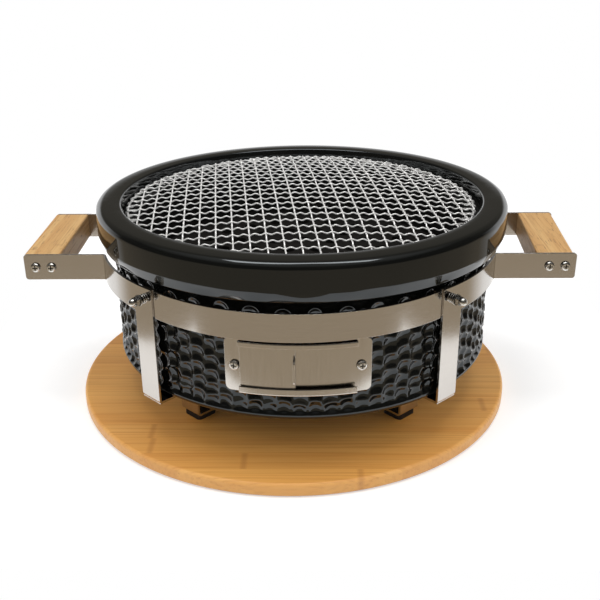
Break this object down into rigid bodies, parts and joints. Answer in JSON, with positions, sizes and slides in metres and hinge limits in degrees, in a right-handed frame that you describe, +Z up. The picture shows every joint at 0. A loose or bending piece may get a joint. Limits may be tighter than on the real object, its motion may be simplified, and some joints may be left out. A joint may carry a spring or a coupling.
{
  "type": "charcoal brazier",
  "caption": "Round glazed ceramic charcoal brazier in a sprung sheet-steel frame with wooden grips, a domed wire mesh, a sliding draught vent and a round bamboo board.",
  "frame": {"origin": "on the underside of the board, below the bowl's centre, which is the middle of the part's box", "axes": "+X to the right along the two handles, +Y to the back, with the draught vent at the front, +Z up"},
  "size_m": [0.467, 0.3848, 0.183],
  "materials": {
    "glaze": "glossy charcoal glaze over hammered dimples",
    "brushed_sheet": "brushed",
    "fastener_steel": "bright",
    "mesh_wire": "bright drawn wire",
    "grate_iron": "matt",
    "bamboo": "oiled",
    "grip_wood": "sanded",
    "pad_rubber": "matt"
  },
  "bodies": {
    "board": {"bamboo_board": "bamboo"},
    "brazier": {"ceramic_body": "glaze", "front_band": "brushed_sheet", "back_band": "brushed_sheet", "bracket_front_left": "brushed_sheet", "bracket_front_right": "brushed_sheet", "bracket_back_left": "brushed_sheet", "bracket_back_right": "brushed_sheet", "foot_pad_front_left": "pad_rubber", "foot_pad_front_right": "pad_rubber", "foot_pad_back_left": "pad_rubber", "foot_pad_back_right": "pad_rubber", "grip_left": "grip_wood", "grip_right": "grip_wood", "grip_screws_left": "fastener_steel", "grip_screws_right": "fastener_steel", "clamp_bolts": "fastener_steel", "clamp_washers": "fastener_steel", "cap_nuts": "fastener_steel", "clamp_spring_front_left": "fastener_steel", "clamp_spring_front_right": "fastener_steel", "clamp_spring_back_left": "fastener_steel", "clamp_spring_back_right": "fastener_steel", "vent_plate": "brushed_sheet", "vent_screws": "fastener_steel"},
    "mesh": {"mesh_hoop": "mesh_wire", "mesh_grate": "mesh_wire"},
    "fire_grate": {"charcoal_grate": "grate_iron"},
    "door": {"vent_door": "brushed_sheet"}
  },
  "joints": [
    {"name": "lift_off_board", "type": "slide", "parent": "board", "child": "brazier", "axis": [0, 0, 1], "range_m": [0, 0.12]},
    {"name": "mesh_lift", "type": "slide", "parent": "brazier", "child": "mesh", "axis": [0, 0, 1], "range_m": [0, 0.15]},
    {"name": "grate_lift", "type": "slide", "parent": "brazier", "child": "fire_grate", "axis": [0, 0, 1], "range_m": [0, 0.045]},
    {"name": "vent_slide", "type": "hinge", "parent": "brazier", "child": "door", "pos_m": [0, 0, 0.0941], "axis": [0, 0, 1], "range_deg": [0, 15]}
  ]
}
